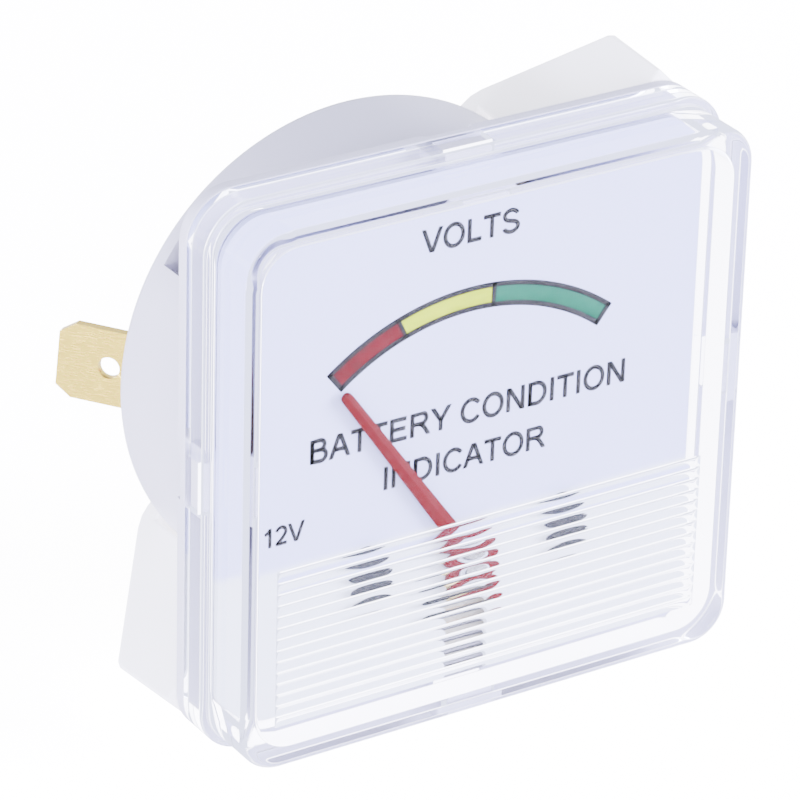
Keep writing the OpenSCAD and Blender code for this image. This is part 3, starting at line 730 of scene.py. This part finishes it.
ARC_Z, ARC_OUT, ARC_IN, ARC_END, LINE = -8.9, 20.9, 18.8, 38.2, 0.42


def sector(r0, r1, a0, a1, y, slant0=0.0, slant1=0.0, n=40):
    """Part of a ring; angles are from up towards the right, and each end may slant."""
    verts, faces = [], []
    for i in range(n + 1):
        for r, s in ((r0, 0), (r1, 1)):
            b0, b1 = a0 + slant0 * s, a1 + slant1 * s
            a = math.radians(b0 + (b1 - b0) * i / n)
            verts.append((r * math.sin(a), y, ARC_Z + r * math.cos(a)))
    for i in range(n):
        faces.append((2 * i, 2 * i + 1, 2 * i + 3, 2 * i + 2))
    return verts, faces


def angle_at(x, z):
    return math.degrees(math.atan2(x, z - ARC_Z))


edge_lean = math.degrees(LINE / 19.8)
b1_out, b1_in = angle_at(-6.75, 10.85), angle_at(-5.95, 9.3)
b2_out, b2_in = angle_at(1.95, 11.75), angle_at(1.9, 10.05)
printed("arc_outline", joined(
    sector(ARC_OUT - LINE, ARC_OUT, -ARC_END, ARC_END, INK),
    sector(ARC_IN, ARC_IN + LINE, -ARC_END, ARC_END, INK),
    sector(ARC_IN, ARC_OUT, -ARC_END, -ARC_END + edge_lean, INK, n=3),
    sector(ARC_IN, ARC_OUT, ARC_END - edge_lean, ARC_END, INK, n=3),
    sector(ARC_IN, ARC_OUT, b1_in - 0.5, b1_in + 0.5, INK, b1_out - b1_in, b1_out - b1_in, n=3),
    sector(ARC_IN, ARC_OUT, b2_in - 0.58, b2_in + 0.58, INK, b2_out - b2_in, b2_out - b2_in, n=3)), "ink")
under = Y_DIAL - 0.008
r0, r1 = ARC_IN + 0.1, ARC_OUT - 0.1
slant1, slant2 = b1_out - b1_in, b2_out - b2_in
FILM = 0.006
printed("arc_low", sector(r0, r1, 0.5 - ARC_END, b1_in, under, 0, slant1), "arc_red", FILM)
printed("arc_middle", sector(r0, r1, b1_in, b2_in, under, slant1, slant2), "arc_yellow", FILM)
printed("arc_high", sector(r0, r1, b2_in, ARC_END - 0.5, under, slant2, 0), "arc_green", FILM)


# ---------------------------------------------------------------- pointer

def needle():
    """Tapered needle with a ridge along its front, and its tail, pointing up from the pivot."""
    rings = []
    y0, y1, ridge, tip = NEEDLE_BACK, NEEDLE_SIDE, NEEDLE_RIDGE, NEEDLE_TIP
    stations = [(TAIL_HALF * (1 - math.cos(math.radians(a))) - TAIL_LEN,
                 TAIL_HALF * math.sin(math.radians(a)), 0.4) for a in (12, 30, 55, 90)]
    stations += [(-2.2, 0.62, 0.5), (0.0, 0.66, 0.6), (2.2, 0.70, 1.0), (8.0, 0.61, 1.0), (14.0, 0.53, 1.0)]
    stations += [(NEEDLE_LEN - tip + tip * math.sin(math.radians(a)),
                  tip * math.cos(math.radians(a)) + 0.004, 1.0) for a in (0, 25, 48, 66, 80, 88)]
    for z, w, h in stations:
        k = min(1.0, w / 0.45)
        top = y1 + (ridge - y1) * h * k
        rings.append([(-w, y0, z), (-w, y1, z), (-w * 0.55, y1 + (top - y1) * 0.62, z), (0, top, z),
                      (w * 0.55, y1 + (top - y1) * 0.62, z), (w, y1, z), (w, y0, z), (0, y0 + 0.02, z)])
    return loft(rings)


def hub_ring(r_in, r_out, y_front, y_back, e=0.18, n=96):
    profile = [(r_out - e + out, y_back - back) for out, back in quarter(e, "flat", 4)]
    profile += [(r_out - out, y_front + e - back) for out, back in quarter(e, "side", 4)]
    profile += [(r_in + e - out, y_front + back) for out, back in quarter(e, "flat", 4)]
    profile += [(r_in, y_back)]
    return turned(profile, n=n, hollow=True)


def on_pivot(part, turn=REST):
    return moved(spun(part, turn), dz=PIVOT)


hand_mesh = mesh_object("pointer_red", *on_pivot(needle()), "pointer_red", 26)
inside_ring = turned([(RING_BORE + 0.05, -8), (RING_BORE + 0.05, -4)], n=64)
hole = mesh_object("hole", *on_pivot(inside_ring), "pointer_red")
combine(hand_mesh, hole, "DIFFERENCE")
tidy(hand_mesh, 24)
soften(hand_mesh, 0.04, 2, 24)
place(hand_mesh, "hand", "pointer_red", "pointer")
hub = hub_ring(RING_BORE, RING_R, -4.95, -4.25)
ring = mesh_object("pointer_ring", *on_pivot(hub), "pointer_red")
place(ring, "hand", "pointer_red", "pointer")

hub = hub_ring(STAFF_R, RING_BORE, -5.1, -4.0, 0.12)
bush = mesh_object("pointer_bush_light", *on_pivot(hub), "light_nylon")
place(bush, "hand", "light_nylon", "pointer_bush")


# ---------------------------------------------------------------- CAD pieces shown with finishes

SLOTS = {s["node"]: s["material_slot"] for s in frame["record"]["subparts"]}
# each piece's edge radius in millimetres and the bevel's segments
ROUNDED = {
    "mounting_clamp": (0.28, 3), "terminal_positive": (0.07, 2), "terminal_negative": (0.07, 2),
    "dial_screws": (0.12, 3), "clamp_nut": (0.06, 2), "clamp_washer": (0.12, 2), "front_bridge": (0.06, 2),
    "movement_chassis": (0.12, 2), "coil_bobbin": (0.1, 2), "dial_plate": (0.05, 2),
    "rear_bearing": (0.08, 2), "front_bearing": (0.06, 2), "spring_collet": (0.05, 2),
    "balance_weight": (0.12, 2), "pivot_staff": (0.06, 2), "series_resistor": (0.15, 3),
    "zener_diode": (0.15, 3), "clamp_stud": (0.05, 2), "coil_winding": (0.08, 2), "moving_vane": (0.03, 1),
    "fixed_vane": (0.03, 1),
}
for node, ob in frame["nodes"].items():
    ob.data.materials.clear()
    ob.data.materials.append(MATERIALS[SLOTS[node]])
    if node in ROUNDED:
        width, segments = ROUNDED[node]
        soften(ob, width, segments, 32, weld=True)


# ---------------------------------------------------------------- stage

def studio_floor():
    """Pale matt light table: near white where it is seen directly or through the clear cover."""
    m, nodes, links = new_material("floor")
    out = nodes.new("ShaderNodeOutputMaterial")
    shade = remap(nodes, links, noise(nodes, links, coords(nodes, links), 6.0), 0, 1)

    def sheet(dark, light, glow):
        face, lit, both = (nodes.new("ShaderNode" + n) for n in ("BsdfDiffuse", "Emission", "AddShader"))
        links.new(mixed(nodes, links, shade, dark, light), face.inputs["Color"])
        lit.inputs["Color"].default_value = (*glow, 1)
        links.new(face.outputs[0], both.inputs[0])
        links.new(lit.outputs[0], both.inputs[1])
        return both.outputs[0]

    path = nodes.new("ShaderNodeLightPath")
    part = maths(nodes, links, "MULTIPLY", path.outputs["Is Transmission Ray"], 0.6)
    mix = nodes.new("ShaderNodeMixShader")
    links.new(maths(nodes, links, "MAXIMUM", path.outputs["Is Camera Ray"], part), mix.inputs[0])
    links.new(sheet((0.40, 0.40, 0.42), (0.41, 0.41, 0.43), (1.9, 1.85, 2.1)), mix.inputs[1])
    links.new(sheet((2.2, 2.1, 1.9), (2.25, 2.15, 1.95), (11.0, 11.0, 11.0)), mix.inputs[2])
    links.new(mix.outputs[0], out.inputs["Surface"])
    return m


MATERIALS["floor"] = studio_floor()
TILES, REACH, Z_FLOOR = 24, 3000.0, -24.5
step, row = 2 * REACH / TILES, TILES + 1
verts = [(-REACH + step * i, -REACH + step * j, Z_FLOOR) for i in range(row) for j in range(row)]
faces = [(i * row + j, (i + 1) * row + j, (i + 1) * row + j + 1, i * row + j + 1)
         for i in range(TILES) for j in range(TILES)]
floor = mesh_object("floor", verts, faces, "floor")

world = bpy.data.worlds.new("studio")
scene.world = world
world.use_nodes = True
wn, wl = world.node_tree.nodes, world.node_tree.links
wn.clear()
w_out = wn.new("ShaderNodeOutputWorld")
w_bg = wn.new("ShaderNodeBackground")
w_geo = wn.new("ShaderNodeTexCoord")
w_sep = wn.new("ShaderNodeSeparateXYZ")
w_map = wn.new("ShaderNodeMapRange")
w_mix = wn.new("ShaderNodeMix")
w_mix.data_type = "RGBA"
HORIZON, ZENITH, GRADE = (1.0, 1.02, 1.22), (0.20, 0.21, 0.27), (0.05, 0.6)
SKY, SKY_SEEN_THROUGH = 3.0, 16.0
w_mix.inputs[MIX_A].default_value = (*HORIZON, 1)
w_mix.inputs[MIX_B].default_value = (*ZENITH, 1)
w_map.inputs["From Min"].default_value, w_map.inputs["From Max"].default_value = GRADE
wl.new(w_geo.outputs["Generated"], w_sep.inputs[0])
wl.new(w_sep.outputs["Z"], w_map.inputs["Value"])
wl.new(w_map.outputs[0], w_mix.inputs[MIX_FACTOR])
wl.new(w_mix.outputs[MIX_RESULT], w_bg.inputs["Color"])
w_path = wn.new("ShaderNodeLightPath")
w_lift = maths(wn, wl, "MULTIPLY", w_path.outputs["Is Transmission Ray"], SKY_SEEN_THROUGH)
wl.new(maths(wn, wl, "ADD", w_lift, SKY), w_bg.inputs["Strength"])
wl.new(w_bg.outputs[0], w_out.inputs["Surface"])


def lamp(name, at, size_m, watts, color, target=(0, 0, 0)):
    data = bpy.data.lights.new(name, "AREA")
    data.shape = "RECTANGLE"
    data.size, data.size_y = size_m
    data.energy = watts
    data.color = color
    ob = bpy.data.objects.new(name, data)
    ob.location = at
    ob.rotation_mode = "QUATERNION"
    ob.rotation_quaternion = (Vector(target) - Vector(at)).to_track_quat("-Z", "Y")
    scene.collection.objects.link(ob)


COOL = (0.88, 0.90, 1.22)
lamp("key", (-0.3, -0.95, 0.3), (0.6, 0.6), 16.0, COOL)
lamp("fill", (0.75, -0.6, 0.25), (0.5, 0.8), 43.0, COOL)
lamp("side", (-0.9, -0.1, 0), (0.5, 0.2), 26.0, COOL)
lamp("back", (-0.5, 0.8, 0.05), (0.6, 0.2), 5.0, COOL)

cam_data = bpy.data.cameras.new("camera")
cam_data.lens, cam_data.sensor_width = 226.85, 36.0
cam_data.clip_start, cam_data.clip_end = 0.01, 10.0
camera = bpy.data.objects.new("camera", cam_data)
scene.collection.objects.link(camera)
CAMERA_AT, CAMERA_LOOK, CAMERA_ROLL = (-0.191711, -0.290509, 0.1776), (0.48467, 0.74757, -0.45413), 1.637
aim = Vector(CAMERA_LOOK).normalized().to_track_quat("-Z", "Y").to_matrix()
aim = aim @ Matrix.Rotation(math.radians(CAMERA_ROLL), 3, "Z")
camera.matrix_world = Matrix.Translation(Vector(CAMERA_AT)) @ aim.to_4x4()
scene.camera = camera
